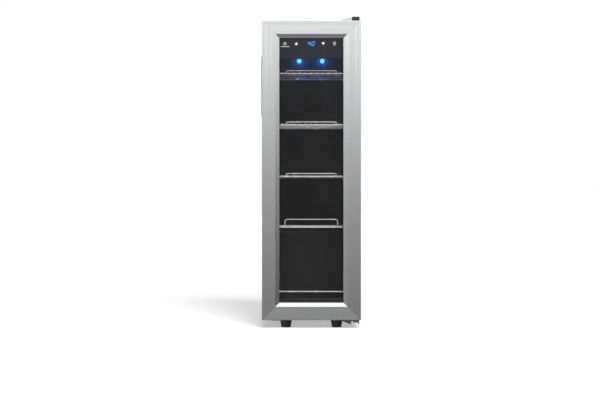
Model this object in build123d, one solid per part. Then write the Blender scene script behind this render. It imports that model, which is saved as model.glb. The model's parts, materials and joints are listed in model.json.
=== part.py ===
from build123d import *
import os

# Slim free-standing drinks cooler with a framed glass door.
# Millimetres. X to the right, -Y to the front, +Z up, origin under the middle of the object.

# ---- door ----
door_half = 148.0
door_front = -255.0
door_thick = 42.0
door_rear = door_front + door_thick
door_low = 25.0
door_high = 921.0
frame_flat = 40.0
frame_bevel = 12.0
bevel_deep = 8.0
frame_wide = frame_flat + frame_bevel
frame_sheet = 1.2
edge_round = 1.6
mitre_gap = 0.1
pane_half = 112.0
pane_thick = 4.0
pane_low = door_low + 36.0
pane_high = door_high - 36.0
outer_pane_front = door_front + 9.8
inner_pane_front = door_front + 29.0
inner_pane_high = 826.0
band_low = 808.0
gasket_thick = 8.7

# ---- cabinet ----
cabinet_half = 147.0
cabinet_front = -204.0
cabinet_rear = 222.0
cabinet_low = 28.0
cabinet_high = 921.0
sheet = 0.8
base_sheet = 1.5
front_lip = 16.0

# ---- inner liner: a tall box with a step over the compressor bay ----
liner_half = 110.0
liner_low = 90.0
liner_high = 872.0
liner_back = 172.0
liner_wall = 2.0
step_front = -4.0
step_top = 290.0
liner_round = 10.0
bay_front = 36.0
bay_top = 250.0

# ---- shelves ----
shelf_heights = [765.6, 610.8, 455.3, 302.5]
shelf_front = -194.0
shelf_back = 128.0
shelf_half = 104.5
frame_wire = 2.25
cross_wire = 1.9
rod_wire = 1.5
rail_reach = 10.0
rail_gap = 0.3
duct_front = 142.0
duct_thick = 2.5
fan_height = 700.0
hub_radius = 15.0
spindle_radius = 1.5
lamp_height = 825.0
lamp_offset = 36.5
lamp_radius = 7.0

# ---- hinge axis and feet ----
pivot_x = 132.5
pivot_y = -238.0
pin_radius = 4.0
pin_clearance = 0.05
plate_thick = 3.0
hinge_gap = 0.5
top_face = door_high + hinge_gap + plate_thick
low_face = door_low - hinge_gap - plate_thick
foot_x = 76.4
foot_y = -182.0
rear_foot_x = 110.0
rear_foot_y = 190.0
stud_radius = 4.0
stud_clearance = 0.1

foot_high = 25.0
screw_hole = 2.6
screw_shank = 2.4
bush_neck = 7.0

# ---- grip recess in the left side of the door ----
grip_low = 640.0
grip_high = 812.0
grip_front = -248.0
grip_back = -222.0
grip_deep = 14.0
grip_wall = 1.5
grip_lip = 3.5
grip_proud = 1.5

# ---- touch controls above the inner pane ----
control_half = 97.5
control_low = inner_pane_high + 1.0
control_high = 870.5
control_rear = door_rear - 1.5
control_wall = 2.0
band_back = outer_pane_front + pane_thick
touch_keys = [-73.0, -46.0, 34.0, 67.0]
touch_height = 855.0

# ---- refrigeration circuit ----
condenser_y = 251.0
condenser_half = 96.0
condenser_high = 880.0
condenser_pitch = 50.0
condenser_passes = 12
condenser_turn = condenser_half + 26.0
tube_radius = 2.5
mesh_wire = 0.75
suction_x = 80.0
suction_y = 158.0
capillary_x = 66.0
drain_x = 0.0
drain_y = 158.0
drain_radius = 6.0
suction_radius = 4.0
capillary_radius = 1.5
evaporator_low = 365.8
dryer_x = 124.0
dryer_y = 96.0
dryer_low = 100.0
dryer_high = 175.8
compressor_x = -30.0
compressor_y = 128.0
compressor_floor = cabinet_low + base_sheet + 16.0
pot_radius = 58.0
pot_high = 124.0
grommet_hole = 5.0
terminal_x = -128.0
terminal_rear = 214.0
cord_height = 86.0
cord_radius = 3.6


# ================= small helpers =================
def block(x0, x1, y0, y1, z0, z1):
    """A box between two corners."""
    middle = Pos((x0 + x1) / 2, (y0 + y1) / 2, (z0 + z1) / 2)
    return middle * Box(abs(x1 - x0), abs(y1 - y0), abs(z1 - z0))


def upright(x, y, z0, z1, radius):
    """A vertical cylinder."""
    return Pos(x, y, (z0 + z1) / 2) * Cylinder(radius, z1 - z0)


def along_x(x0, x1, y, z, radius):
    """A cylinder that runs left to right."""
    return Pos((x0 + x1) / 2, y, z) * Rot(0, 90, 0) * Cylinder(radius, x1 - x0)


def along_y(x, y0, y1, z, radius):
    """A cylinder that runs front to back."""
    return Pos(x, (y0 + y1) / 2, z) * Rot(90, 0, 0) * Cylinder(radius, y1 - y0)


def bent_wire(points, bends, radius):
    """A round wire or tube along straight runs with rounded corners."""
    path = FilletPolyline(*points, radius=bends)
    section = Plane(origin=path @ 0, z_dir=path % 0) * Circle(radius)
    return sweep(section, path=path)


def closed_wire(points, bends, radius):
    """A round wire bent into a closed loop."""
    path = FilletPolyline(*points, radius=bends, close=True)
    section = Plane(origin=path @ 0, z_dir=path % 0) * Circle(radius)
    return sweep(section, path=path)


def prism_x(outline, x0, x1):
    """An outline of (y, z) points, drawn out from x0 to x1."""
    face = Plane.YZ.offset(x0) * make_face(Polyline(*outline, close=True))
    return extrude(face, x1 - x0)


def prism_y(outline, y0, y1):
    """An outline of (x, z) points, drawn out from y0 back to y1."""
    face = Plane.XZ.offset(-y1) * make_face(Polyline(*outline, close=True))
    return extrude(face, y1 - y0)


def prism_z(outline, z0, z1):
    """An outline of (x, y) points, drawn up from z0 to z1."""
    face = Plane.XY.offset(z0) * make_face(Polyline(*outline, close=True))
    return extrude(face, z1 - z0)


def slot_x(x0, x1, y0, y1, z0, z1):
    """A slot with round ends, lying along Z and cut through in X."""
    face = Plane.YZ.offset(x0) * Pos((y0 + y1) / 2, (z0 + z1) / 2) * Rot(0, 0, 90)
    return extrude(face * SlotOverall(z1 - z0, y1 - y0), x1 - x0)


def save(name, shape):
    """Write one node to its own file."""
    export_step(shape, os.path.join("parts", name + ".step"))


# ================= door frame =================
def mitre_zone(side, depth0, depth1):
    """The part of the door frame's ring that belongs to one side, cut at 45 degrees."""
    reach = 60.0
    gap = mitre_gap
    left, right, low, high = -door_half, door_half, door_low, door_high
    outlines = {
        "left": [(left, low + gap), (left, high - gap),
                 (left + reach, high - reach - gap), (left + reach, low + reach + gap)],
        "right": [(right, low + gap), (right, high - gap),
                  (right - reach, high - reach - gap), (right - reach, low + reach + gap)],
        "top": [(left + gap, high), (right - gap, high),
                (right - reach - gap, high - reach), (left + reach + gap, high - reach)],
        "bottom": [(left + gap, low), (right - gap, low),
                   (right - reach - gap, low + reach), (left + reach + gap, low + reach)],
    }
    return prism_y(outlines[side], door_front + depth0, door_front + depth1)


def frame_bar(side, section, rounded=0.0):
    """One side of a ring. The section's points are (inward from the edge, back from the front)."""
    if side in ("left", "right"):
        sign = -1 if side == "left" else 1
        points = [(sign * (door_half - u), door_front + v) for u, v in section]
        face = Plane.XY.offset(door_low) * make_face(Polyline(*points, close=True))
        length = door_high - door_low
    else:
        sign = 1 if side == "top" else -1
        edge = door_high if side == "top" else door_low
        points = [(door_front + v, edge - sign * u) for u, v in section]
        face = Plane.YZ.offset(-door_half) * make_face(Polyline(*points, close=True))
        length = 2 * door_half
    bar = extrude(face, length)
    if rounded:
        bar = round_front_edge(bar, side, rounded)
    return bar & mitre_zone(side, -1.0, door_thick + 20.0)


def round_front_edge(bar, side, radius):
    """Round the long front edge on the outside of one bar."""
    axis = Axis.Z if side in ("left", "right") else Axis.X
    front = bar.edges().filter_by(axis).group_by(Axis.Y)[0]
    order = {"left": (Axis.X, 0), "right": (Axis.X, -1), "top": (Axis.Z, -1), "bottom": (Axis.Z, 0)}
    sort_axis, pick = order[side]
    return fillet(front.sort_by(sort_axis)[pick], radius)


def steel_section():
    """Folded sheet: side wall, flat front, bevel and a short return behind the bevel."""
    t = frame_sheet
    slope = bevel_deep / frame_bevel
    return [(0, 40.5), (0, 0), (frame_flat, 0), (frame_wide, bevel_deep),
            (frame_wide, 9.6), (frame_wide - t, 9.6),
            (frame_wide - t, bevel_deep - slope * t + 1.4), (frame_flat - 0.4, t), (t, t), (t, 40.5)]


def profile_section():
    """Plastic profile behind the steel: a channel, a glazing lip and a groove for the seal."""
    return [(1.4, 1.4), (4, 1.4), (4, 35.5), (32.5, 35.5), (32.5, 10), (35.3, 10), (35.3, 33.4),
            (50, 33.4), (50, 42), (25.2, 42), (25.2, 37.5), (22.8, 37.5), (22.8, 42), (1.4, 42)]


def gasket_section():
    """Magnetic seal: a dart for the groove, a flange, and a bulb with a soft waist."""
    return [(16.5, 42.05), (22.95, 42.05), (22.95, 38), (25.05, 38), (25.05, 42.05), (32, 42.05),
            (32, 43.2), (29, 43.6), (28, 45.2), (31, 46.4), (31, 42 + gasket_thick),
            (18, 42 + gasket_thick), (18, 46.4), (20.5, 45.2), (19.5, 43.6), (16.5, 43.2)]


def grip_cut():
    """The hole that the grip insert sits in."""
    clear = grip_wall + 0.1
    return slot_x(-door_half - 5, -door_half + grip_deep + clear, grip_front - clear,
                  grip_back + clear, grip_low - clear, grip_high + clear)


def handle_insert():
    """A moulded cup for the fingers, with a lip that stands proud of the door's side."""
    cup = slot_x(-door_half, -door_half + grip_deep + grip_wall, grip_front - grip_wall,
                 grip_back + grip_wall, grip_low - grip_wall, grip_high + grip_wall)
    lip = slot_x(-door_half - grip_proud, -door_half, grip_front - grip_lip,
                 grip_back + grip_lip, grip_low - grip_lip, grip_high + grip_lip)
    hollow = slot_x(-door_half - grip_proud - 1, -door_half + grip_deep, grip_front,
                    grip_back, grip_low, grip_high)
    return cup + lip - hollow


def bush_hole(z0, z1):
    """Clearance for a hinge bush through the end of the door."""
    return upright(pivot_x, pivot_y, z0, z1, bush_neck + 0.1)


def door_bar(side):
    """One mitred length of the stainless frame."""
    bar = frame_bar(side, steel_section(), edge_round)
    if side == "left":
        return bar - grip_cut()
    if side == "top":
        return bar - bush_hole(door_high - 6, door_high + 1)
    if side == "bottom":
        return bar - bush_hole(door_low - 1, door_low + 6)
    return bar


def door_inner_frame():
    """Four mitred lengths of plastic profile, welded at the corners."""
    bars = []
    for side in ("left", "right", "top", "bottom"):
        bar = frame_bar(side, profile_section())
        if side == "left":
            bar -= grip_cut()
        if side == "top":
            bar -= bush_hole(door_high - 8, door_high + 1)
        if side == "bottom":
            bar -= bush_hole(door_low - 1, door_low + 8)
        bars.append(bar.solid())
    return Compound(bars)


def door_gasket():
    """Four mitred lengths of seal."""
    return Compound([frame_bar(side, gasket_section()).solid()
                     for side in ("left", "right", "top", "bottom")])


def outer_glass_pane():
    pane = block(-pane_half, pane_half, outer_pane_front, outer_pane_front + pane_thick,
                 pane_low, pane_high)
    return fillet(pane.edges().filter_by(Axis.Y), 3)


def inner_glass_pane():
    pane = block(-pane_half, pane_half, inner_pane_front, inner_pane_front + pane_thick,
                 pane_low, inner_pane_high)
    return fillet(pane.edges().filter_by(Axis.Y), 3)


def glass_spacer():
    """Hollow-looking aluminium bar that keeps the two panes apart."""
    gap, inset, wide = 0.1, 2.0, 11.5
    front, rear = band_back + gap, inner_pane_front - gap
    half, low, high = pane_half - inset, pane_low + inset, inner_pane_high - inset
    ring = block(-half, half, front, rear, low, high)
    room = block(-half + wide, half - wide, front - 1, rear + 1, low + wide, high - wide)
    return ring - room


def control_fascia():
    """Printed dark band on the back of the outer pane."""
    film = 0.1
    half = control_half + 0.5
    return block(-half, half, band_back, band_back + film, band_low, pane_high - 2)


def control_housing():
    """Shallow tray, open to the front, that carries the touch board."""
    front, wall = band_back + 0.4, control_wall
    tray = block(-control_half, control_half, front, control_rear, control_low, control_high)
    tray -= block(-control_half + wall, control_half - wall, front - 1, control_rear - wall,
                  control_low + wall, control_high - wall)
    post_x, post_front, post_height, post_radius = 80.0, -232.0, 848.0, 3.0
    for x in (-post_x, post_x):
        tray += along_y(x, post_front, control_rear - 1, post_height, post_radius)
    return tray


def control_board():
    """Circuit board with touch springs and a two-digit lamp block."""
    half, low, high, thick = 92.0, 832.0, 864.0, 1.6
    front = band_back + 7.4
    spring_front, spring_radius, sunk = front - 5.5, 5.0, 0.2
    board = block(-half, half, front, front + thick, low, high)
    for x in touch_keys:
        board += along_y(x, spring_front, front + sunk, touch_height, spring_radius)
    lamp_half, lamp_tall = 12.0, 6.0
    return board + block(-lamp_half, lamp_half, front - 5, front + sunk,
                         touch_height - lamp_tall, touch_height + lamp_tall)


def door_bushes():
    """Two corner blocks with the bores that turn on the hinge pins."""
    tall, from_edge, collar_gap = 19.8, 4.2, 0.1
    top, bottom = door_high - from_edge, door_low + from_edge
    blocks = []
    for low, high, collar in ((top - tall, top, door_high - collar_gap),
                              (bottom, bottom + tall, door_low + collar_gap)):
        body = block(118, 143.4, door_front + 4, door_front + 33, low, high)
        neck = upright(pivot_x, pivot_y, min(low, collar), max(high, collar), bush_neck)
        bore = upright(pivot_x, pivot_y, min(low, collar) - 1, max(high, collar) + 1,
                       pin_radius + pin_clearance)
        blocks.append((body + neck - bore).solid())
    return Compound(blocks)


# ================= cabinet =================
def side_panel(sign):
    """Painted steel side with folded front and rear lips."""
    outer = cabinet_half
    inner = outer - sheet
    panel = block(inner, outer, cabinet_front, cabinet_rear, cabinet_low, cabinet_high)
    panel += block(outer - front_lip, inner + 0.5, cabinet_front, cabinet_front + sheet,
                   cabinet_low + base_sheet, cabinet_high - sheet)
    panel += block(outer - 11, inner + 0.5, cabinet_rear - sheet, cabinet_rear,
                   bay_top, cabinet_high - sheet)
    return panel if sign > 0 else mirror(panel, Plane.YZ)


def top_panel():
    edge = cabinet_half - sheet
    panel = block(-edge, edge, cabinet_front, cabinet_rear, cabinet_high - sheet, cabinet_high)
    lip_half = cabinet_half - front_lip - 0.3
    panel += block(-lip_half, lip_half, cabinet_front, cabinet_front + sheet,
                   cabinet_high - front_lip, cabinet_high - sheet / 2)
    for x, y in hinge_screw_places():
        panel -= upright(x, y, cabinet_high - 5, cabinet_high + 5, screw_hole)
    return panel


def base_plate():
    """Steel floor of the cabinet, with a front lip and threaded bosses for the front feet."""
    boss_tall, boss_radius = 10.0, 9.0
    edge = cabinet_half - sheet
    top = cabinet_low + base_sheet
    plate = block(-edge, edge, cabinet_front, cabinet_rear, cabinet_low, top)
    lip_half = cabinet_half - front_lip - 0.3
    plate += block(-lip_half, lip_half, cabinet_front, cabinet_front + sheet,
                   top - 0.5, cabinet_low + front_lip)
    for x in (-foot_x, foot_x):
        plate += upright(x, foot_y, top - 0.5, top + boss_tall, boss_radius)
        plate -= upright(x, foot_y, cabinet_low - 1, top + boss_tall + 1, stud_radius + stud_clearance)
    for x, y in hinge_screw_places():
        plate -= upright(x, y, cabinet_low - 1, top + 1, screw_hole)
    return plate


def back_panel():
    edge = cabinet_half - 11.3
    return block(-edge, edge, cabinet_rear - sheet, cabinet_rear, bay_top, cabinet_high - sheet)


def bay_partition():
    """Wall and roof sheets that close the foam off from the compressor bay."""
    edge = cabinet_half - sheet
    low = cabinet_low + base_sheet
    wall = block(-edge, edge, bay_front, bay_front + sheet, low, bay_top - sheet - mitre_gap)
    roof = block(-edge, edge, bay_front, cabinet_rear - sheet, bay_top - sheet, bay_top)
    return Compound([wall.solid(), (roof - line_holes()).solid()])


def line_holes():
    """Holes for the suction line, capillary and drain between the bay and the cold space."""
    low, high, slack = bay_top - 50.0, step_top + 30.0, 0.2
    holes = upright(suction_x, suction_y, low, high, suction_radius + slack)
    holes += upright(capillary_x, suction_y, low, high, capillary_radius + slack)
    holes += upright(drain_x, drain_y, low, high, drain_radius + slack)
    return holes


def liner_body(grow):
    """The cold space, grown on every side by a wall thickness."""
    front = cabinet_front - 2
    low = liner_low - grow
    high = liner_high + grow
    back = liner_back + grow
    outline = [(front, low), (step_front + grow, low), (step_front + grow, step_top - grow),
               (back, step_top - grow), (back, high), (front, high)]
    body = prism_x(outline, -liner_half - grow, liner_half + grow)
    edges = body.edges().filter_by(lambda edge: edge.center().Y > front + 1)
    return fillet(edges, liner_round + grow)


def shelf_rails():
    """Moulded runners: each shelf slides between a lower and an upper rail on both sides."""
    back = 122.0
    lower_front, upper_front = shelf_front + 6.0, shelf_front + 14.0
    lower_thick, upper_thick, upper_gap = 6.0, 4.0, 1.2
    rails = []
    for height in shelf_heights:
        for sign in (-1, 1):
            inner = sign * (liner_half - rail_reach)
            outer = sign * (liner_half + liner_wall / 2)
            low = height - frame_wire - rail_gap
            high = height + frame_wire + upper_gap
            rails.append(block(inner, outer, lower_front, back, low - lower_thick, low))
            rails.append(block(inner + sign * 2, outer, upper_front, back, high, high + upper_thick))
    within = liner_body(liner_wall / 2)
    return [rail & within for rail in rails]


def inner_liner():
    """Vacuum-formed liner with a front flange and the shelf runners."""
    shell = liner_body(liner_wall) - liner_body(0)
    flange_half = cabinet_half - front_lip - 0.3
    flange = block(-flange_half, flange_half, cabinet_front, cabinet_front + 2,
                   cabinet_low + front_lip + 0.3, cabinet_high - front_lip - 0.3)
    shell = shell - block(-200, 200, cabinet_front - 10, cabinet_front, 0, 1000)
    shell += flange - liner_body(0)
    for rail in shelf_rails():
        shell += rail
    return shell - line_holes()


def foam_insulation():
    """Foam slabs between the steel skin and the liner, two to each side wall."""
    edge = cabinet_half - sheet
    front, rear = cabinet_front + 2, cabinet_rear - sheet
    low, high = cabinet_low + base_sheet, cabinet_high - sheet
    inner = liner_half + liner_wall
    core = inner - mitre_gap
    step = step_front + liner_wall
    stud_room, boss_room, screw_room = 26.0, 10.0, 16.0
    slabs = []
    for sign in (-1, 1):
        slabs.append(block(sign * inner, sign * edge, front, bay_front, low, high))
        slabs.append(block(sign * inner, sign * edge, bay_front + mitre_gap, rear, bay_top, high))
    slabs.append(block(-core, core, front, rear, liner_high + liner_wall, high))
    slabs.append(block(-core, core, liner_back + liner_wall, rear, bay_top,
                       liner_high + liner_wall - mitre_gap))
    slabs.append(block(-core, core, front, bay_front, low, liner_low - liner_wall))
    slabs.append(block(-core, core, step, bay_front, liner_low - liner_wall + mitre_gap,
                       step_top - liner_wall) - liner_body(liner_wall))
    slabs.append(block(-core, core, bay_front + mitre_gap, liner_back + liner_wall - mitre_gap,
                       bay_top, step_top - liner_wall))
    holes = line_holes()
    for x in (-foot_x, foot_x):
        holes += upright(x, foot_y, low - 1, low + stud_room, boss_room)
    for x, y in hinge_screw_places():
        holes += upright(x, y, cabinet_high - screw_room, cabinet_high, screw_hole)
        holes += upright(x, y, low - 1, low + screw_room - 2, screw_hole)
    return Compound([(slab - holes).solid() for slab in slabs])


# ================= inside the cabinet =================
def air_duct_cover():
    """Moulded panel in front of the evaporator, with slots for the air and holes for the lamps."""
    front, back = duct_front, duct_front + duct_thick
    half, low, high = 109.4, 292.0, 858.0
    flange_thick, flange_deep = 2.4, 14.0
    cover = block(-half, half, front, back, low, high)
    for sign in (-1, 1):
        cover += block(sign * (half - flange_thick), sign * half, back - 0.5, back + flange_deep,
                       low, high)
    slot, grille_radius, grille_rows, grille_pitch = 5.0, 41.0, 9, 9.5
    for row in range(grille_rows):
        rise = (row - (grille_rows - 1) / 2) * grille_pitch
        reach = (grille_radius ** 2 - rise ** 2) ** 0.5
        z = fan_height + rise
        cover -= block(-reach, reach, front - 1, back + 1, z - slot / 2, z + slot / 2)
    return_low, return_half, return_rows, return_pitch = 306.0, 56.0, 5, 10.0
    for row in range(return_rows):
        z = return_low + return_pitch * row
        cover -= block(-return_half, return_half, front - 1, back + 1, z, z + slot)
    for x in (-lamp_offset, lamp_offset):
        cover -= along_y(x, front - 1, back + 1, lamp_height, lamp_radius + 0.1)
    return cover & liner_body(-0.6)


def evaporator():
    """Finned tube block: four passes of tube through upright fins."""
    half, y, radius = 96.0, 157.0, 4.0
    first_pass, pitch, passes = 380.0, 20.0, 4
    body = along_x(-half, half, y, first_pass, radius)
    for i in range(1, passes):
        body += along_x(-half, half, y, first_pass + i * pitch, radius)
    for i in range(passes - 1):
        x, z = (half, -half)[i % 2], first_pass + i * pitch
        body += block(x - 3, x + 3, y - 3.5, y + 3.5, z - 2, z + pitch + 2)
    fins, fin_pitch, fin_half, fin_front, fin_rear = 19, 10.0, 0.5, 147.0, 168.0
    for i in range(fins):
        x = (i - (fins - 1) / 2) * fin_pitch
        body += block(x - fin_half, x + fin_half, fin_front, fin_rear,
                      evaporator_low + 0.2, evaporator_low + 88.2)
    return body


def fan_frame():
    """Square fan housing with a motor seat on three spokes."""
    front = duct_front + duct_thick + 0.5
    rear = front + 24.0
    half, throat = 46.0, 43.0
    frame = block(-half, half, front, rear, fan_height - half, fan_height + half)
    frame -= along_y(0, front - 1, rear + 1, fan_height, throat)
    seat = along_y(0, rear - 5, rear, fan_height, hub_radius)
    spoke_long, spoke_thick, spoke_wide, spoke_middle = 34.0, 3.0, 4.0, 28.0
    for turn in (90, 210, 330):
        spoke = Pos(0, rear - spoke_thick / 2, 0) * Box(spoke_long, spoke_thick, spoke_wide)
        seat += Pos(0, 0, fan_height) * Rot(0, turn, 0) * Pos(spoke_middle, 0, 0) * spoke
    frame += seat
    return frame - along_y(0, rear - 6, rear + 1, fan_height, spindle_radius + 0.05)


def fan_rotor():
    """Hub with seven twisted blades and a steel spindle."""
    front = duct_front + duct_thick + 2.5
    rear = front + 16.7
    rotor = along_y(0, front, rear, fan_height, hub_radius)
    blades, blade_middle, blade_twist = 7, 27.0, 38.0
    blade_long, blade_thick, blade_wide = 28.0, 1.8, 17.0
    for i in range(blades):
        blade = Box(blade_long, blade_thick, blade_wide)
        blade = Pos(blade_middle, 0, 0) * Rot(blade_twist, 0, 0) * blade
        rotor += Pos(0, (front + rear) / 2, fan_height) * Rot(0, i * 360 / blades, 0) * blade
    return rotor + along_y(0, rear - 1, rear + 4.6, fan_height, spindle_radius)


def light_board():
    """Narrow lamp board behind the duct cover."""
    front = duct_front + duct_thick + 2.0
    half, tall, thick, chip = 60.0, 11.0, 1.6, 2.5
    board = block(-half, half, front, front + thick, lamp_height - tall, lamp_height + tall)
    for x in (-lamp_offset, lamp_offset):
        board += block(x - chip, x + chip, front - 1.2, front + 0.2,
                       lamp_height - chip, lamp_height + chip)
    return board


def light_lenses():
    """Two clear domes that clip into the duct cover."""
    wall, middle, rear, clear = 1.4, duct_front + 1.0, duct_front + 2.2, 12.0
    lenses = []
    for x in (-lamp_offset, lamp_offset):
        dome = Pos(x, middle, lamp_height) * Sphere(lamp_radius)
        dome -= Pos(x, middle, lamp_height) * Sphere(lamp_radius - wall)
        dome -= block(x - clear, x + clear, rear, liner_back, lamp_height - clear, lamp_height + clear)
        lenses.append(dome.solid())
    return Compound(lenses)


def bottom_guard_rail():
    """Wire rail that keeps bottles on the liner's floor, hung from both side walls."""
    x, y = 98.5, -190.0
    low, high = 108.0, 150.0
    back = step_front - 0.3
    points = [(-x, back, high), (-x, y, high), (-x, y, low),
              (x, y, low), (x, y, high), (x, back, high)]
    wire, upper_bend, lower_bend = 2.0, 8, 4
    return bent_wire(points, [upper_bend, lower_bend, lower_bend, upper_bend], wire)


def shelf_grid(height, rods, pitch):
    """Wire shelf: a looped frame, cross wires and rods that run front to back."""
    loop = [(-shelf_half, shelf_front, height), (shelf_half, shelf_front, height),
            (shelf_half, shelf_back, height), (-shelf_half, shelf_back, height)]
    grid = closed_wire(loop, 12, frame_wire)
    for y in (-86, 20):
        grid += along_x(-shelf_half, shelf_half, y, height, cross_wire)
    lift = frame_wire + rod_wire - 0.6
    for i in range(rods):
        x = (i - (rods - 1) / 2) * pitch
        grid += along_y(x, shelf_front - 0.5, shelf_back + 0.5, height + lift, rod_wire)
    return grid


def guard(height, half, rise, bend):
    """A wire hoop that stands on the front wire of a shelf."""
    foot = height + frame_wire
    points = [(-half, shelf_front, foot), (-half, shelf_front, height + rise),
              (half, shelf_front, height + rise), (half, shelf_front, foot)]
    return bent_wire(points, bend, rod_wire)


def low_guard(height):
    """Low lip along the front of a can shelf."""
    return guard(height, 75.5, 9.0, 4)


def tall_guard(height):
    """Taller rail along the front of the bottle shelf."""
    return guard(height, 79.5, 23.5, 8)


# ================= hinges and feet =================
def hinge_screw_places():
    """Screw centres shared by the top and bottom hinge plates."""
    return [(106.0, -176.0), (124.0, -176.0), (124.0, -160.0)]


def hinge_plate(outer, inner, pad_end, wedge, tab):
    """A flat hinge arm with a pad on the cabinet, a tapered front gusset and a side tab."""
    low, high = min(outer, inner), max(outer, inner)
    front, back, tip, pad_left, right = -249.0, -146.0, 92.0, 96.0, 143.0
    fold, tab_back, pad_front = 2.6, -222.0, -198.0
    outline = [(tip, front), (right, front), (right, back), (pad_left, back),
               (pad_left, pad_front + 2), (tip, pad_front - 6)]
    arm = prism_z(outline, low, high)
    arm += block(pad_left, right, pad_front, back, min(inner, pad_end), max(inner, pad_end))
    arm += prism_y(wedge, front, front + fold)
    arm += block(right - fold, right, front, tab_back, *tab)
    arm = arm - upright(pivot_x, pivot_y, low - 20, high + 20, pin_radius + 0.1)
    for x, y in hinge_screw_places():
        arm -= upright(x, y, low - 10, high + 10, screw_hole)
    return arm


def top_hinge_bracket():
    low = door_high + hinge_gap
    high = low + plate_thick
    wedge = [(92, low), (120.8, low), (120.8, 930.2), (117, 930.2), (92, high + 0.4)]
    return hinge_plate(high, low, cabinet_high, wedge, (low, high + 1.5))


def bottom_hinge_bracket():
    high = door_low - hinge_gap
    low = high - plate_thick
    wedge = [(95, high), (119, high), (119, 12.4), (116, 12.4), (95, low - 0.4)]
    return hinge_plate(low, high, cabinet_low, wedge, (12.4, high))


def hinge_pins():
    """Top and bottom pins, each with a head outside its bracket."""
    head_radius, top_head, low_head, reach = 7.0, 4.0, 5.0, 22.0
    top = upright(pivot_x, pivot_y, door_high - reach, top_face + 1, pin_radius)
    top += upright(pivot_x, pivot_y, top_face, top_face + top_head, head_radius)
    low = upright(pivot_x, pivot_y, low_face - 1, door_low + reach, pin_radius)
    low += upright(pivot_x, pivot_y, low_face - low_head, low_face, head_radius)
    return Compound([top.solid(), low.solid()])


def top_hinge_cap():
    """Black clip-on cover over the top pivot."""
    low, high = door_high + hinge_gap + 0.2, door_high + 12.0
    left, right, front, back = 121.3, 144.4, -252.0, -196.0
    side_wall, wall, arm_high = 1.3, 1.6, top_face + 0.7
    cap = block(left, right, front, back, low, high)
    cap = fillet(cap.edges().filter_by(Axis.Z), 2.5)
    cap = fillet(cap.faces().sort_by(Axis.Z)[-1].edges(), 2)
    room = block(left + side_wall, right - side_wall, front + wall, back - wall, low - 1, high - wall)
    arm = block(left - 11, left + 1.7, front + 2.5, back + 6, low - 1, arm_high)
    arm += block(left - 11, right - 1, back - 2.5, back + 6, low - 1, arm_high)
    return cap - room - arm


def screw(x, y, z, point):
    """Pan-head screw. Its head is away from its point, which is +1 for up and -1 for down."""
    length, head_tall, head_radius = 14.0, 2.6, 4.6
    slot_deep, slot_long, slot_wide = 1.2, 6.0, 1.0
    end, face = z + length * point, z - head_tall * point
    shank = upright(x, y, min(z, end), max(z, end), screw_shank)
    head = upright(x, y, min(z, face), max(z, face), head_radius)
    slot_middle = Pos(x, y, face + slot_deep / 2 * point)
    slot = slot_middle * Box(slot_long, slot_wide, slot_deep)
    return (shank + head - slot).solid()


def hinge_screws():
    screws = [screw(x, y, top_face, -1) for x, y in hinge_screw_places()]
    screws += [screw(x, y, low_face, 1) for x, y in hinge_screw_places()]
    return Compound(screws)


def levelling_foot(x):
    """Tapered foot with a hexagon and a threaded stud."""
    outline = [(0, 0), (13.2, 0), (14.3, 1.2), (17.5, 21), (17.5, 23.5), (16.2, foot_high),
               (0, foot_high)]
    body = revolve(Plane.XZ * make_face(Polyline(*outline, close=True)), Axis.Z)
    hexagon_radius, hexagon_tall = 8.0, 3.1
    hexagon = extrude(Plane.XY.offset(foot_high - 0.5) * RegularPolygon(hexagon_radius, 6), hexagon_tall)
    stud = upright(0, 0, foot_high, 2 * foot_high, stud_radius)
    grooves, first_groove, groove_pitch, groove = 7, 44.0, 0.8, 0.25
    for i in range(grooves):
        stud -= Pos(0, 0, first_groove + i * groove_pitch) * Torus(stud_radius + 0.1, groove)
    return Pos(x, foot_y, 0) * (body + hexagon + stud)


def rear_feet():
    """Two fixed pads under the compressor bay."""
    outline = [(0, 0), (13, 0), (14, 1), (16, cabinet_low - 1.5), (15, cabinet_low), (0, cabinet_low)]
    pad = revolve(Plane.XZ * make_face(Polyline(*outline, close=True)), Axis.Z)
    return Compound([(Pos(x, rear_foot_y, 0) * pad).solid() for x in (-rear_foot_x, rear_foot_x)])


# ================= refrigeration circuit =================
def compressor():
    """Two-part pressed pot with a weld flange and a foot plate."""
    floor = compressor_floor
    dome_round, flange_out, flange_thick = 26.0, 2.5, 5.0
    plate_x, plate_y, plate_round, neck_radius, neck_tall = 78.0, 38.0, 12.0, 40.0, 31.0
    pot = Pos(compressor_x, compressor_y, floor + pot_high / 2) * Cylinder(pot_radius, pot_high)
    pot = fillet(pot.edges().filter_by(GeomType.CIRCLE), dome_round)
    flange = Cylinder(pot_radius + flange_out, flange_thick)
    pot += Pos(compressor_x, compressor_y, floor + pot_high / 2 + 4) * flange
    feet = block(compressor_x - plate_x, compressor_x + plate_x, compressor_y - plate_y,
                 compressor_y + plate_y, floor - plate_thick, floor)
    feet = fillet(feet.edges().filter_by(Axis.Z), plate_round)
    pot += feet + Pos(compressor_x, compressor_y, floor + 15) * Cylinder(neck_radius, neck_tall)
    for dx, dy in grommet_places():
        pot -= upright(compressor_x + dx, compressor_y + dy, floor - 5, floor + 2, grommet_hole)
    return pot


def grommet_places():
    return [(dx, dy) for dx in (-66, 66) for dy in (-26, 26)]


def compressor_grommets():
    """Rubber mounts with a waist that holds the compressor's foot plate."""
    floor = cabinet_low + base_sheet
    outline = [(0, 0), (9, 0), (9, 12.8), (4.8, 12.8), (4.8, 16.2), (8, 16.2), (7, 22), (0, 22)]
    mount = revolve(Plane.XZ * make_face(Polyline(*outline, close=True)), Axis.Z)
    return Compound([(Pos(compressor_x + dx, compressor_y + dy, floor) * mount).solid()
                     for dx, dy in grommet_places()])


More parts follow.
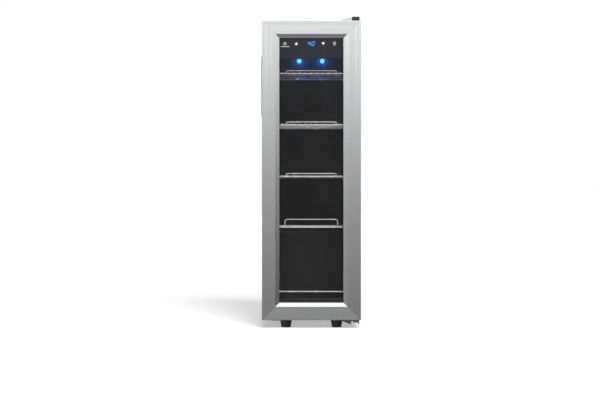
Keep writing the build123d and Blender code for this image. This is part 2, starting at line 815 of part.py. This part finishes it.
def relay_box():
    """Starting relay cover on the side of the compressor."""
    left, deep, half, low, high = compressor_x + pot_radius + 0.5, 26.0, 22.0, 70.0, 108.0
    box = block(left, left + deep, compressor_y - half, compressor_y + half, low, high)
    box = fillet(box.edges().filter_by(Axis.X), 4)
    return box - upright(compressor_x, compressor_y, low - 1, high + 1, pot_radius + 0.4)


def condenser_coil():
    """Tube bent to and fro across the back, with a tail down into the bay."""
    points = []
    for i in range(condenser_passes):
        z = condenser_high - i * condenser_pitch
        ends = (condenser_turn, -condenser_turn)
        first, last = ends if i % 2 == 0 else ends[::-1]
        points += [(first, condenser_y, z), (last, condenser_y, z)]
    low, tail, turn_round = points[-1][2], 206.0, 12
    points[0] = (condenser_turn + 8, condenser_y, condenser_high)
    points[-1] = (dryer_x, condenser_y, low)
    points += [(dryer_x, condenser_y, tail), (dryer_x, dryer_y, tail),
               (dryer_x, dryer_y, dryer_high + 0.2)]
    return bent_wire(points, turn_round, tube_radius)


def condenser_wires():
    """Upright wires welded to both faces of the coil."""
    count, pitch, overhang = 17, 13.0, 12.0
    low = condenser_high - (condenser_passes - 1) * condenser_pitch - overhang
    wires = []
    for i in range(count):
        x = (i - (count - 1) / 2) * pitch
        for side in (-1, 1):
            y = condenser_y + side * (tube_radius + mesh_wire)
            wires.append(upright(x, y, low, condenser_high + overhang, mesh_wire).solid())
    return Compound(wires)


def condenser_brackets():
    """Four stand-offs that carry the coil clear of the back panel."""
    upper_pass, lower_pass, offset = 1, 10, 97.5
    foot_wide, foot_tall, foot_thick, arm_half, nose = 8.0, 14.0, 2.0, 5.0, 3.6
    brackets = []
    for row in (upper_pass, lower_pass):
        z = condenser_high - row * condenser_pitch
        for x in (-offset, offset):
            foot = block(x - foot_wide, x + foot_wide, cabinet_rear, cabinet_rear + foot_thick,
                         z - foot_tall, z + foot_tall)
            arm = block(x - arm_half, x + arm_half, cabinet_rear + 1, condenser_y + nose,
                        z - arm_half, z + arm_half)
            arm -= along_x(x - foot_wide, x + foot_wide, condenser_y, z, tube_radius + 0.05)
            brackets.append((foot + arm).solid())
    return Compound(brackets)


def filter_dryer():
    """Copper drying cartridge with spun ends."""
    neck, radius, cone = 2.6, 9.0, 12.0
    outline = [(0, dryer_low), (neck, dryer_low), (radius, dryer_low + cone),
               (radius, dryer_high - cone), (neck, dryer_high), (0, dryer_high)]
    body = revolve(Plane.XZ * make_face(Polyline(*outline, close=True)), Axis.Z)
    return Pos(dryer_x, dryer_y, 0) * body


def discharge_line():
    """Tube from the compressor up to the top of the condenser."""
    x, y, low = condenser_turn + 16, compressor_y + 77, 140.0
    start_x, start_y = compressor_x + 20, compressor_y + 55.5
    points = [(start_x, start_y, low), (start_x, y, low), (x, y, low),
              (x, condenser_y, low), (x, condenser_y, condenser_high),
              (condenser_turn + 8.1, condenser_y, condenser_high)]
    return bent_wire(points, [10, 12, 12, 3], tube_radius)


def suction_line():
    """Tube from the evaporator down through the foam to the compressor."""
    low, bend = 120.0, 16
    points = [(suction_x, suction_y, evaporator_low), (suction_x, suction_y, low),
              (compressor_x + pot_radius + 1, suction_y, low)]
    return bent_wire(points, bend, suction_radius)


def capillary_tube():
    """Thin tube from the dryer to the evaporator."""
    x, low, high = dryer_x - 26, 78.0, 226.0
    points = [(dryer_x, dryer_y, dryer_low - 0.2), (dryer_x, dryer_y, low), (x, dryer_y, low),
              (x, dryer_y, high), (capillary_x, suction_y, high),
              (capillary_x, suction_y, evaporator_low)]
    return bent_wire(points, [8, 8, 10, 10], capillary_radius)


def drip_tray():
    """Shallow pan over the compressor where defrost water dries off."""
    low, high, wall, corner = 170.2, 188.0, 1.6, 10.0
    left, right = compressor_x - 44, compressor_x + 56
    front, back = compressor_y - 44, compressor_y + 44
    tray = block(left, right, front, back, low, high)
    tray = fillet(tray.edges().filter_by(Axis.Z), corner)
    room = block(left + wall, right - wall, front + wall, back - wall, low + wall, high + 1)
    return tray - fillet(room.edges().filter_by(Axis.Z), corner - wall)


def drain_tube():
    """Drain from the floor of the duct space to the drip tray."""
    low, high, bore = 192.0, step_top + 1.5, 4.6
    tube = upright(drain_x, drain_y, low, high, drain_radius)
    return tube - upright(drain_x, drain_y, low - 1, high + 1, bore)


def terminal_box():
    """Mains terminal box in the bay."""
    half, deep, below, above = 16.0, 46.0, 26.0, 26.0
    box = block(terminal_x - half, terminal_x + half, terminal_rear - deep, terminal_rear,
                cord_height - below, cord_height + above)
    box = fillet(box.edges().filter_by(Axis.Y), 4)
    pad_in, pad_out = terminal_x - half + 1, terminal_x - half - 2
    return box + block(pad_out, pad_in, terminal_rear - deep + 8, terminal_rear - 8,
                       cord_height - below + 6, cord_height + above - 6)


def cord_gland():
    """Strain-relief gland facing the rear; the cord itself isn't part of the model."""
    collar, collar_thick, barrel, rear, bore_front = 10.0, 3.0, 7.0, 229.0, 219.0
    gland = along_y(terminal_x, terminal_rear, terminal_rear + collar_thick, cord_height, collar)
    gland += along_y(terminal_x, terminal_rear + 2.5, rear, cord_height, barrel)
    return gland - along_y(terminal_x, bore_front, rear + 1, cord_height, cord_radius)


# ================= write every node =================
os.makedirs("parts", exist_ok=True)

for side in ("left", "right"):
    save("door_stile_" + side, door_bar(side))
for side in ("top", "bottom"):
    save("door_rail_" + side, door_bar(side))
save("door_inner_frame", door_inner_frame())
save("door_gasket", door_gasket())
save("door_bushes", door_bushes())
save("outer_glass_pane", outer_glass_pane())
save("inner_glass_pane", inner_glass_pane())
save("glass_spacer", glass_spacer())
save("handle_insert", handle_insert())
save("control_fascia", control_fascia())
save("control_housing", control_housing())
save("control_board", control_board())

save("side_panel_left", side_panel(-1))
save("side_panel_right", side_panel(1))
save("top_panel", top_panel())
save("base_plate", base_plate())
save("back_panel", back_panel())
save("bay_partition", bay_partition())
save("inner_liner", inner_liner())
save("foam_insulation", foam_insulation())

save("air_duct_cover", air_duct_cover())
save("evaporator", evaporator())
save("fan_frame", fan_frame())
save("fan_rotor", fan_rotor())
save("light_board", light_board())
save("light_lenses", light_lenses())
save("bottom_guard_rail", bottom_guard_rail())
for number, height in enumerate(shelf_heights[:-1], start=1):
    save(f"shelf_{number}_grid", shelf_grid(height, 11, 17.5))
    save(f"shelf_{number}_guard", low_guard(height))
bottle_shelf = len(shelf_heights)
save(f"shelf_{bottle_shelf}_grid", shelf_grid(shelf_heights[-1], 9, 21.3))
save(f"shelf_{bottle_shelf}_guard", tall_guard(shelf_heights[-1]))

save("top_hinge_bracket", top_hinge_bracket())
save("bottom_hinge_bracket", bottom_hinge_bracket())
save("hinge_pins", hinge_pins())
save("top_hinge_cap", top_hinge_cap())
save("hinge_screws", hinge_screws())
save("levelling_foot_left", levelling_foot(-foot_x))
save("levelling_foot_right", levelling_foot(foot_x))
save("rear_feet", rear_feet())

save("compressor", compressor())
save("compressor_grommets", compressor_grommets())
save("relay_box", relay_box())
save("condenser_coil", condenser_coil())
save("condenser_wires", condenser_wires())
save("condenser_brackets", condenser_brackets())
save("filter_dryer", filter_dryer())
save("discharge_line", discharge_line())
save("suction_line", suction_line())
save("capillary_tube", capillary_tube())
save("drip_tray", drip_tray())
save("drain_tube", drain_tube())
save("terminal_box", terminal_box())
save("cord_gland", cord_gland())
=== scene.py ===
"""Looks of the slim drinks cooler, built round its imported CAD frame.

Metres. X to the right, -Y to the front, +Z up. Every CAD node keeps its shape and gets a procedural
material. The pieces added here are the printed signs on the control band. The rest is the studio.
"""
import json
import math

import bmesh
import bpy
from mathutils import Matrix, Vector


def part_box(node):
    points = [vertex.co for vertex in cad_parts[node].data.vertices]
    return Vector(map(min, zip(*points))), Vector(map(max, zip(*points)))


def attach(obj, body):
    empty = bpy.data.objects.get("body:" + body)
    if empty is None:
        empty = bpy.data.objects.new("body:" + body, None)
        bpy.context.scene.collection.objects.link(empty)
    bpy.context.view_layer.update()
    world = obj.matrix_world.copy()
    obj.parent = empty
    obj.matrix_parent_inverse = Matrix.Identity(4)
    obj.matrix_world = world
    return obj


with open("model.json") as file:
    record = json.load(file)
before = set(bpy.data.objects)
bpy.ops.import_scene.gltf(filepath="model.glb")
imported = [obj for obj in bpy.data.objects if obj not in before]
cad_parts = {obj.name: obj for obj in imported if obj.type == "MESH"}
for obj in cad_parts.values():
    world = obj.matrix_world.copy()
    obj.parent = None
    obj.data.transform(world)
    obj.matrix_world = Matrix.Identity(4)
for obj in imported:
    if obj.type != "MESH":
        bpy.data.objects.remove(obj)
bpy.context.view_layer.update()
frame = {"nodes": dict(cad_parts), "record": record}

MM = 0.001
SILL_TALL = 46.5 * MM
SILL_FADE = 2 * MM
EVEN = (1, 1, 1)


# ================= node helpers =================
def new_material(name, colour, roughness, metallic=0.0, **sockets):
    """A Principled material with its plain values set on the shader's own sockets."""
    material = bpy.data.materials.new(name)
    material.use_nodes = True
    shader = material.node_tree.nodes["Principled BSDF"]
    shader.inputs["Base Color"].default_value = (*colour, 1.0)
    shader.inputs["Roughness"].default_value = roughness
    shader.inputs["Metallic"].default_value = metallic
    for socket, value in sockets.items():
        shader.inputs[socket.replace("_", " ")].default_value = value
    return material, shader


def add_node(material, kind, **values):
    """A node with some of its sockets or settings set by name."""
    node = material.node_tree.nodes.new(kind)
    for key, value in values.items():
        if key in node.inputs:
            node.inputs[key].default_value = value
        else:
            setattr(node, key, value)
    return node


def link(material, source, target):
    material.node_tree.links.new(source, target)


def noise(material, stretch, scale=1.0, detail=4.0, rough=0.6):
    """Noise in the piece's own coordinates, stretched along its axes. Returns its value socket."""
    place = add_node(material, "ShaderNodeTexCoord")
    mapping = add_node(material, "ShaderNodeMapping", Scale=stretch)
    texture = add_node(material, "ShaderNodeTexNoise", Scale=scale, Detail=detail, Roughness=rough)
    link(material, place.outputs["Object"], mapping.inputs["Vector"])
    link(material, mapping.outputs["Vector"], texture.inputs["Vector"])
    return texture.outputs["Fac"]


def ramp(material, source, low, high, start=0.3, end=0.7):
    """Maps a value to a colour between two colours."""
    node = add_node(material, "ShaderNodeValToRGB")
    node.color_ramp.elements[0].position = start
    node.color_ramp.elements[1].position = end
    node.color_ramp.elements[0].color = (*low, 1.0)
    node.color_ramp.elements[1].color = (*high, 1.0)
    link(material, source, node.inputs["Fac"])
    return node.outputs["Color"]


def spread(material, source, low, high, start=0.3, end=0.7):
    """Maps a value to a number between two numbers."""
    node = add_node(material, "ShaderNodeMapRange")
    for socket, value in (("From Min", start), ("From Max", end), ("To Min", low), ("To Max", high)):
        node.inputs[socket].default_value = value
    link(material, source, node.inputs["Value"])
    return node.outputs["Result"]


def bump(material, shader, source, height, strength=1.0):
    """Fine relief, with its height in metres."""
    node = add_node(material, "ShaderNodeBump", Strength=strength, Distance=height)
    link(material, source, node.inputs["Height"])
    link(material, node.outputs["Normal"], shader.inputs["Normal"])


# ================= materials =================
def brushed(name, colour, grain, roughness=(0.19, 0.27), streak=0.55, along=0.006, across=1.6):
    """Brushed metal: long fine scratches along one axis, in colour, gloss and relief."""
    fine_scale, broad_scale, share = 1400.0, 130.0, 0.5
    darkest, lightest = 0.86, 1.10
    start, end = 0.36, 0.64
    material, shader = new_material(name, colour, sum(roughness) / 2, metallic=1.0, Anisotropic=streak)
    stretch = (along, across, across) if grain == "X" else (across, across, along)
    fine = noise(material, stretch, fine_scale, detail=3.0)
    broad = noise(material, stretch, broad_scale, detail=3.0)
    shade = add_node(material, "ShaderNodeMath", operation="MULTIPLY_ADD")
    shade.inputs[1].default_value = share
    link(material, fine, shade.inputs[0])
    rest = add_node(material, "ShaderNodeMath", operation="MULTIPLY")
    rest.inputs[1].default_value = 1 - share
    link(material, broad, rest.inputs[0])
    link(material, rest.outputs[0], shade.inputs[2])
    low = tuple(darkest * c for c in colour)
    high = tuple(min(lightest * c, 1.0) for c in colour)
    link(material, ramp(material, shade.outputs[0], low, high, start, end), shader.inputs["Base Color"])
    link(material, spread(material, shade.outputs[0], roughness[1], roughness[0], start, end),
         shader.inputs["Roughness"])
    bump(material, shader, fine, height=0.02 * MM, strength=0.35)
    tangent = add_node(material, "ShaderNodeTangent", direction_type="RADIAL", axis=grain)
    link(material, tangent.outputs["Tangent"], shader.inputs["Tangent"])
    return material


def moulded(name, colour, roughness, grain=0.7 * MM, relief=0.04 * MM, shift=0.18, **sockets):
    """Moulded plastic: a fine even grain with slight changes of colour and gloss."""
    gloss_shift = 0.15
    material, shader = new_material(name, colour, roughness, **sockets)
    fine = noise(material, EVEN, scale=1 / grain, detail=2.0)
    cloudy = noise(material, EVEN, scale=9.0, detail=3.0)
    low = tuple(c * (1 - shift) for c in colour)
    high = tuple(c * (1 + shift) for c in colour)
    link(material, ramp(material, cloudy, low, high), shader.inputs["Base Color"])
    glossy, matt = roughness * (1 - gloss_shift), min(roughness * (1 + gloss_shift), 1.0)
    link(material, spread(material, cloudy, glossy, matt), shader.inputs["Roughness"])
    bump(material, shader, fine, relief, strength=0.5)
    return material


def painted(name, colour, roughness, peel=2.2 * MM, relief=0.05 * MM):
    """Powder-painted steel: an orange-peel surface with a light coat."""
    return moulded(name, colour, roughness, peel, relief, shift=0.1, Coat_Weight=0.25,
                    Coat_Roughness=0.2)


def plated(name, colour, roughness, blotch=0.12, metallic=1.0):
    """Plated wire or sheet: clean metal with faint clouding."""
    material, shader = new_material(name, colour, roughness, metallic)
    glossy, matt = roughness * 0.7, roughness * 1.5
    cloudy = noise(material, EVEN, scale=60.0, detail=4.0)
    low = tuple(c * (1 - blotch) for c in colour)
    link(material, ramp(material, cloudy, low, colour), shader.inputs["Base Color"])
    link(material, spread(material, cloudy, glossy, matt), shader.inputs["Roughness"])
    return material


def spangled(name, colour):
    """Galvanised sheet with its flat crystals."""
    darkest, glossy, matt = 0.78, 0.3, 0.5
    material, shader = new_material(name, colour, roughness=0.4, metallic=1.0)
    place = add_node(material, "ShaderNodeTexCoord")
    cells = add_node(material, "ShaderNodeTexVoronoi", Scale=90.0)
    link(material, place.outputs["Object"], cells.inputs["Vector"])
    grey = add_node(material, "ShaderNodeSeparateColor")
    link(material, cells.outputs["Color"], grey.inputs["Color"])
    low = tuple(c * darkest for c in colour)
    link(material, ramp(material, grey.outputs[0], low, colour, start=0.0, end=1.0),
         shader.inputs["Base Color"])
    link(material, spread(material, grey.outputs[1], glossy, matt, start=0.0, end=1.0),
         shader.inputs["Roughness"])
    return material


def clear_glass(name, tint, alpha, roughness=0.02):
    """A pane that is seen through, with its gloss on top and a few faint wipe marks."""
    material, shader = new_material(name, tint, roughness, Alpha=alpha, IOR=1.5)
    smear = noise(material, (3, 3, 1), scale=4.0, detail=5.0)
    link(material, spread(material, smear, roughness, roughness * 3), shader.inputs["Roughness"])
    return material


def glowing(name, colour, strength, base=(0.02, 0.02, 0.02)):
    """A lit sign or lamp, with slight clouding in its light."""
    dimmest = 0.85
    material, shader = new_material(name, base, roughness=0.35)
    shader.inputs["Emission Strength"].default_value = strength
    cloudy = noise(material, EVEN, scale=300.0, detail=1.0)
    low = tuple(c * dimmest for c in colour)
    link(material, ramp(material, cloudy, low, colour), shader.inputs["Emission Color"])
    return material


def foam_material():
    """Rigid foam: pale, matt and full of fine cells."""
    dark, pale = (0.6, 0.5, 0.3), (0.8, 0.7, 0.45)
    material, shader = new_material("foam", (0.72, 0.62, 0.38), roughness=0.9)
    place = add_node(material, "ShaderNodeTexCoord")
    cells = add_node(material, "ShaderNodeTexVoronoi", Scale=900.0)
    link(material, place.outputs["Object"], cells.inputs["Vector"])
    link(material, ramp(material, cells.outputs["Distance"], dark, pale, start=0.0, end=0.6),
         shader.inputs["Base Color"])
    bump(material, shader, cells.outputs["Distance"], height=0.3 * MM, strength=0.6)
    return material


def liner_material():
    """Charcoal liner plastic, with painted light: a paler sill below the floor of the cold space."""
    sill_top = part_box("inner_liner")[0].z + SILL_TALL
    # Painted light: the sill's paler colour stands in for light falling on it.
    sill_painted_light = (0.034, 0.035, 0.034, 1.0)
    material = moulded("liner_plastic", (0.013, 0.013, 0.013), 0.5, grain=0.9 * MM, relief=0.05 * MM)
    shader = material.node_tree.nodes["Principled BSDF"]
    place = add_node(material, "ShaderNodeTexCoord")
    split = add_node(material, "ShaderNodeSeparateXYZ")
    blend = add_node(material, "ShaderNodeMix", data_type="RGBA")
    link(material, place.outputs["Object"], split.inputs["Vector"])
    # Mask of the painted light: whole below the sill's top, fading out over SILL_FADE.
    link(material, spread(material, split.outputs["Z"], 1.0, 0.0, sill_top - SILL_FADE, sill_top),
         blend.inputs[0])
    link(material, shader.inputs["Base Color"].links[0].from_socket, blend.inputs[6])
    blend.inputs[7].default_value = sill_painted_light
    link(material, blend.outputs[2], shader.inputs["Base Color"])
    return material


def copper_material():
    """Drawn copper tube, darker in cloudy patches."""
    dark, bright = (0.42, 0.19, 0.12), (0.80, 0.41, 0.27)
    glossy, matt = 0.22, 0.45
    material, shader = new_material("copper", (0.75, 0.36, 0.22), roughness=0.3, metallic=1.0)
    cloudy = noise(material, (1, 1, 0.3), scale=45.0, detail=5.0)
    link(material, ramp(material, cloudy, dark, bright), shader.inputs["Base Color"])
    link(material, spread(material, cloudy, matt, glossy), shader.inputs["Roughness"])
    return material


STEEL = (0.66, 0.665, 0.67)
materials = {
    "stile_steel": brushed("brushed_steel_upright", STEEL, "Z"),
    "rail_steel": brushed("brushed_steel_level", STEEL, "X", streak=0.1),
    "glazing": clear_glass("pane_glass", (0.03, 0.03, 0.032), alpha=0.10),
    "profile_black": moulded("black_profile", (0.018, 0.019, 0.021), 0.45),
    "control_band": moulded("dark_band", (0.003, 0.006, 0.016), 0.4, grain=0.5 * MM, relief=0.01 * MM),
    "circuit_board": moulded("circuit_green", (0.02, 0.11, 0.05), 0.45),
    "spacer_aluminium": brushed("spacer_metal", (0.5, 0.5, 0.51), "Z", roughness=(0.35, 0.45)),
    "seal_rubber": moulded("seal_rubber", (0.016, 0.016, 0.017), 0.6, grain=1.2 * MM, relief=0.05 * MM),
    "cabinet_black": painted("cabinet_paint", (0.020, 0.021, 0.023), 0.42),
    "galvanised_steel": spangled("galvanised_sheet", (0.58, 0.60, 0.61)),
    # Zinc plating whose cyan tint is a painted reflection on the upper hinge.
    "hinge_zinc": plated("zinc_painted_cyan_reflection", (0.62, 0.80, 0.84), 0.32, blotch=0.08),
    # Painted shade: the lower bracket is the same zinc pressing as the upper, coloured dark as if in
    # shade.
    "hinge_dark": painted("hinge_painted_shade", (0.045, 0.052, 0.048), 0.4),
    "liner_charcoal": liner_material(),
    "foam": foam_material(),
    "fin_aluminium": brushed("fin_metal", (0.62, 0.63, 0.64), "Z", roughness=(0.3, 0.45)),
    "lamp_lens": glowing("lamp_blue", (0.03, 0.40, 1.0), strength=3.2, base=(0.1, 0.2, 0.4)),
    "shelf_chrome": plated("shelf_chrome", (0.88, 0.88, 0.87), 0.22, blotch=0.05, metallic=0.45),
    "foot_black": moulded("foot_plastic", (0.030, 0.030, 0.026), 0.55, grain=1.1 * MM, relief=0.07 * MM),
    "compressor_black": painted("compressor_paint", (0.012, 0.012, 0.013), 0.28, peel=3 * MM,
                                relief=0.06 * MM),
    "bay_plastic": moulded("bay_plastic", (0.05, 0.05, 0.052), 0.6),
    "condenser_enamel": painted("condenser_paint", (0.016, 0.016, 0.017), 0.38, peel=1.4 * MM),
    "copper_tube": copper_material(),
}


def dress_cad_nodes():
    """Give each CAD node the material of its record slot; the level frame parts get level grain."""
    slots = {part["node"]: part["material_slot"] for part in frame["record"]["subparts"]}
    for name, piece in frame["nodes"].items():
        key = slots[name]
        if key == "brushed_stainless":
            key = "rail_steel" if "rail" in name else "stile_steel"
        material = materials[key]
        if not piece.material_slots:
            piece.data.materials.append(material)
        for place in piece.material_slots:
            place.material = material


dress_cad_nodes()


# ================= signs on the control band =================
SIGN_DEEP = 0.05 * MM
SIGN_PROUD = 0.06 * MM
SIGN_RISE = 45 * MM
fascia_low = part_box("control_fascia")[0]
sign_z = fascia_low.z + SIGN_RISE
sign_y = fascia_low.y - SIGN_PROUD
white_sign = glowing("sign_white", (0.86, 0.90, 0.92), strength=0.85, base=(0.5, 0.5, 0.5))
blue_sign = glowing("sign_blue", (0.05, 0.30, 0.85), strength=1.6, base=(0.05, 0.1, 0.3))


def finish_mesh(name, builder, body, material):
    """Turn a bmesh into a piece that rides on a body."""
    mesh = bpy.data.meshes.new(name)
    bmesh.ops.recalc_face_normals(builder, faces=builder.faces)
    builder.to_mesh(mesh)
    builder.free()
    piece = bpy.data.objects.new(name, mesh)
    bpy.context.scene.collection.objects.link(piece)
    mesh.materials.append(material)
    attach(piece, body)


def plate(builder, outline):
    """A thin printed plate from (x, z) points, facing the front."""
    front = [builder.verts.new((x, sign_y, z)) for x, z in outline]
    back = [builder.verts.new((x, sign_y + SIGN_DEEP, z)) for x, z in outline]
    builder.faces.new(front)
    builder.faces.new(back[::-1])
    count = len(outline)
    for i in range(count):
        builder.faces.new((front[i], front[(i + 1) % count], back[(i + 1) % count], back[i]))


def bar(builder, left, low, wide, tall):
    """A small rectangular plate from its lower left corner."""
    right, high = left + wide, low + tall
    plate(builder, [(left, low), (right, low), (right, high), (left, high)])


def ring_arc(builder, x, z, outer, inner, start, end, steps=24):
    """Part of a flat ring between two angles, in degrees from the top, clockwise."""
    def point(radius, turn):
        angle = math.radians(turn)
        return (x + radius * math.sin(angle), z + radius * math.cos(angle))

    for i in range(steps):
        a = start + (end - start) * i / steps
        b = start + (end - start) * (i + 1) / steps
        plate(builder, [point(inner, a), point(outer, a), point(outer, b), point(inner, b)])


def power_sign(x):
    """An open ring with a short bar at its top, over a row of plain dashes."""
    outer, inner, opening = 4.2 * MM, 3.1 * MM, 35
    bar_wide, bar_low, bar_tall = 1.2 * MM, 1 * MM, 4.2 * MM
    dashes, dash_wide, dash_tall, pitch = 5, 4 * MM, 1.5 * MM, 5.2 * MM
    row_left, row_low = x - 12.4 * MM, sign_z - 9.6 * MM
    builder = bmesh.new()
    ring_arc(builder, x, sign_z, outer, inner, opening, 360 - opening)
    bar(builder, x - bar_wide / 2, sign_z + bar_low, bar_wide, bar_tall)
    for i in range(dashes):
        bar(builder, row_left + i * pitch, row_low, dash_wide, dash_tall)
    finish_mesh("power_sign", builder, "door", white_sign)


def arrow_sign(name, x, up):
    """A solid triangle that points up or down."""
    half, tip, base_share = 5 * MM, 4.6 * MM * up, 0.8
    base = sign_z - base_share * tip
    builder = bmesh.new()
    plate(builder, [(x - half, base), (x + half, base), (x, sign_z + tip)])
    finish_mesh(name, builder, "door", white_sign)


def lamp_sign(x):
    """A small bulb: a ring over two short bars."""
    outer, inner, rise, half_turn = 4.2 * MM, 2.9 * MM, 1 * MM, 140
    bar_wide, bar_tall, upper_drop, lower_drop = 3.8 * MM, 1.1 * MM, 3.4 * MM, 5.4 * MM
    builder = bmesh.new()
    ring_arc(builder, x, sign_z + rise, outer, inner, -half_turn, half_turn)
    for drop in (upper_drop, lower_drop):
        bar(builder, x - bar_wide / 2, sign_z - drop, bar_wide, bar_tall)
    finish_mesh("lamp_sign", builder, "door", white_sign)


SEGMENTS = {"4": "bcfg", "0": "abcdef"}


def digit_sign(name, x, figure):
    """One slanted seven-segment figure."""
    wide, tall, thick, lean, inset = 6.6 * MM, 12.4 * MM, 1.7 * MM, 0.14, 0.55
    half = tall / 2
    bars = {
        "a": [(0, tall), (wide, tall)], "g": [(0, half), (wide, half)], "d": [(0, 0), (wide, 0)],
        "f": [(0, half), (0, tall)], "b": [(wide, half), (wide, tall)],
        "e": [(0, 0), (0, half)], "c": [(wide, 0), (wide, half)],
    }
    builder = bmesh.new()
    for key in SEGMENTS[figure]:
        (x0, z0), (x1, z1) = bars[key]
        run = Vector((x1 - x0, z1 - z0)).normalized()
        side = Vector((-run.y, run.x)) * thick / 2
        start = Vector((x0, z0)) + run * thick * inset
        end = Vector((x1, z1)) - run * thick * inset
        tip = run * thick / 2
        points = [start - tip, start + side, end + side, end + tip, end - side, start - side]
        plate(builder, [(x + p.x + lean * p.y, sign_z - half + p.y) for p in points])
    finish_mesh(name, builder, "door", blue_sign)


# Places across the band, from the middle of the door.
power_sign(-79 * MM)
arrow_sign("warmer_sign", -45 * MM, 1)
digit_sign("first_figure_sign", -10.5 * MM, "4")
digit_sign("second_figure_sign", 1 * MM, "0")
arrow_sign("colder_sign", 35.5 * MM, -1)
lamp_sign(69 * MM)


# ================= studio =================
def make_floor():
    """A wide pale floor that stays out of the metal's reflections, as a black card would keep it."""
    reach = 60.0
    builder = bmesh.new()
    bmesh.ops.create_grid(builder, x_segments=2, y_segments=2, size=reach)
    mesh = bpy.data.meshes.new("studio_floor")
    builder.to_mesh(mesh)
    builder.free()
    floor = bpy.data.objects.new("studio_floor", mesh)
    bpy.context.scene.collection.objects.link(floor)
    dark, pale = (0.915, 0.915, 0.915), (0.925, 0.925, 0.925)
    material, shader = new_material("floor_paper", (0.92, 0.92, 0.92), roughness=0.9,
                                    Specular_IOR_Level=0.0, Emission_Color=(1, 1, 1, 1),
                                    Emission_Strength=0.37)
    cloudy = noise(material, EVEN, scale=3.0, detail=2.0)
    link(material, ramp(material, cloudy, dark, pale), shader.inputs["Base Color"])
    mesh.materials.append(material)
    floor.visible_glossy = False
    return floor


def light_only(lamp, name, pieces):
    """Keep a lamp's light to some pieces. Everything still casts its shadow."""
    chosen = bpy.data.collections.new(name)
    for piece in pieces:
        chosen.objects.link(piece)
    lamp.light_linking.receiver_collection = chosen


def make_sun(name, direction, strength, spread_degrees):
    """A broad parallel light that isn't mirrored in the metal."""
    data = bpy.data.lights.new(name, "SUN")
    data.energy = strength
    data.angle = math.radians(spread_degrees)
    lamp = bpy.data.objects.new(name, data)
    lamp.rotation_euler = Vector(direction).to_track_quat("-Z", "Y").to_euler()
    lamp.visible_glossy = False
    bpy.context.scene.collection.objects.link(lamp)
    return lamp


# Brightness of the reflected surroundings against height, from straight down (-1) to straight up (1).
SKY = ((-1.0, 0.30), (-0.3, 0.10), (-0.06, 0.14), (0.0, 0.18), (0.04, 0.34), (0.075, 1.45), (0.12, 1.9),
       (0.35, 1.55), (1.0, 1.5))
SKY_TILT = -0.10
ROOM_LIGHT = 0.20
BACKDROP_LIGHT = 1.0


def make_world():
    """White to the eye, an even room for the light, and a card that brightens upwards for the gloss."""
    world = bpy.data.worlds.new("studio_world")
    bpy.context.scene.world = world
    world.use_nodes = True
    tree = world.node_tree
    tree.nodes.clear()
    path = tree.nodes.new("ShaderNodeLightPath")
    place = tree.nodes.new("ShaderNodeTexCoord")
    split = tree.nodes.new("ShaderNodeSeparateXYZ")
    card = tree.nodes.new("ShaderNodeFloatCurve")
    tilt = tree.nodes.new("ShaderNodeMath")
    tilt.operation = "MULTIPLY_ADD"
    room = tree.nodes.new("ShaderNodeMix")
    seen = tree.nodes.new("ShaderNodeMix")
    sky = tree.nodes.new("ShaderNodeBackground")
    output = tree.nodes.new("ShaderNodeOutputWorld")

    curve = card.mapping.curves[0]
    card.mapping.use_clip = False
    curve.points[0].location = SKY[0]
    curve.points[1].location = SKY[-1]
    for point in SKY[1:-1]:
        curve.points.new(*point)
    for point in curve.points:
        point.handle_type = "VECTOR"
    card.mapping.update()
    tilt.inputs[1].default_value = SKY_TILT
    room.inputs[2].default_value = ROOM_LIGHT
    seen.inputs[3].default_value = BACKDROP_LIGHT
    sky.inputs["Color"].default_value = (1, 1, 1, 1)

    tree.links.new(place.outputs["Generated"], split.inputs["Vector"])
    tree.links.new(split.outputs["Z"], card.inputs["Value"])
    tree.links.new(path.outputs["Is Glossy Ray"], room.inputs[0])
    tree.links.new(split.outputs["X"], tilt.inputs[0])
    tree.links.new(card.outputs["Value"], tilt.inputs[2])
    tree.links.new(tilt.outputs[0], room.inputs[3])
    tree.links.new(path.outputs["Is Camera Ray"], seen.inputs[0])
    tree.links.new(room.outputs[0], seen.inputs[2])
    tree.links.new(seen.outputs[0], sky.inputs["Strength"])
    tree.links.new(sky.outputs["Background"], output.inputs["Surface"])


def make_camera():
    """A level view, square to the door, with a long lens a little left of the middle."""
    stand_off, frame_width = 6.5, 1.7937
    eye_x, eye_height = -0.0341, 0.3844
    data = bpy.data.cameras.new("camera")
    data.sensor_width = 36.0
    data.lens = data.sensor_width * stand_off / frame_width
    camera = bpy.data.objects.new("camera", data)
    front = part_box("door_stile_left")[0].y
    camera.location = (eye_x, front - stand_off, eye_height)
    camera.rotation_euler = (math.radians(90), 0, 0)
    bpy.context.scene.collection.objects.link(camera)
    bpy.context.scene.camera = camera


def lamp_glow():
    """The two blue lamps inside: a small light in front of each lens."""
    lens_radius, set_off = 7 * MM, 18 * MM
    low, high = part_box("light_lenses")
    for sign in (-1, 1):
        data = bpy.data.lights.new("cold_lamp", "POINT")
        data.energy = 0.16
        data.color = (0.04, 0.22, 1.0)
        data.shadow_soft_size = 0.008
        lamp = bpy.data.objects.new("cold_lamp", data)
        lamp.location = (sign * (high.x - lens_radius), low.y - set_off, (low.z + high.z) / 2)
        bpy.context.scene.collection.objects.link(lamp)


floor = make_floor()
make_world()
meshes = [piece for piece in bpy.context.scene.objects if piece.type == "MESH"]
object_pieces = [piece for piece in meshes if piece is not floor]
wires = [piece for piece in object_pieces if "shelf_" in piece.name or "guard" in piece.name]
floor_sun = make_sun("floor_sun", (-0.24, 1.9, -0.93), strength=4.1, spread_degrees=21)
light_only(floor_sun, "lit_floor", [floor])
key_sun = make_sun("key_sun", (-0.25, 1.0, -1.25), strength=3.2, spread_degrees=16)
light_only(key_sun, "lit_object", object_pieces)
wire_sun = make_sun("wire_sun", (0.0, 1.0, -0.45), strength=3.0, spread_degrees=10)
light_only(wire_sun, "lit_wires", wires)
make_camera()
lamp_glow()
bpy.context.scene.view_settings.view_transform = "Standard"
